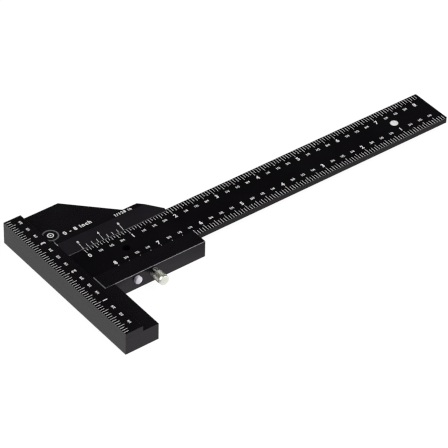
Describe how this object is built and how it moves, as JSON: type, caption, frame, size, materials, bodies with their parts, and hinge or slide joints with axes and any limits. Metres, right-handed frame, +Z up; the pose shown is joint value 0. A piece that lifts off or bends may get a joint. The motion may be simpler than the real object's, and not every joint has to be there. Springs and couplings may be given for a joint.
{
  "type": "sliding combination square",
  "caption": "T-shaped sliding combination square: stock with raised scale strip, mitred head, graduated rule, vernier plate and knurled clamp screw.",
  "frame": {"origin": "on the base plane, where the centreline of the stock crosses the centreline of the rule", "axes": "+X along the rule towards its far end, +Y along the stock towards the mitred plate, +Z up out of the scales"},
  "size_m": [0.233, 0.1, 0.0125],
  "materials": {
    "anodised_body": "satin black anodised",
    "anodised_strip": "satin black anodised",
    "anodised_guides": "satin black anodised",
    "anodised_rule": "satin black anodised",
    "nickel": "satin nickel plate",
    "nylon": "turned, off-white",
    "steel": "ground",
    "black_steel": "black oxide",
    "brass": "machined"
  },
  "bodies": {
    "head": {"body": "anodised_body", "scale_strip": "anodised_strip", "vernier_plate": "anodised_guides", "lower_guide": "anodised_guides", "gib": "brass", "gib_spring": "steel", "gib_pin": "nylon", "screw_bush": "black_steel", "strip_screws": "black_steel", "vernier_screws": "black_steel", "guide_screws": "black_steel", "strip_dowels": "steel", "vernier_dowels": "steel", "guide_dowels": "steel"},
    "rule": {"rule": "anodised_rule"},
    "clamp_pad": {"clamp_pad": "brass"},
    "thumbscrew": {"thumbscrew": "nickel"}
  },
  "joints": [
    {"name": "rule_slide", "type": "slide", "parent": "head", "child": "rule", "axis": [1, 0, 0], "range_m": [-0.1778, 0]},
    {"name": "clamp_advance", "type": "slide", "parent": "head", "child": "clamp_pad", "axis": [0, -1, 0], "range_m": [0, 0.002]},
    {"name": "thumbscrew_turn", "type": "hinge", "parent": "clamp_pad", "child": "thumbscrew", "pos_m": [0.0323, -0.02, 0.006], "axis": [0, -1, 0], "range_deg": [0, 1440]}
  ],
  "couplings": [
    {"joint": "thumbscrew_turn", "follows": "clamp_advance", "rad_per_m": 12566}
  ]
}
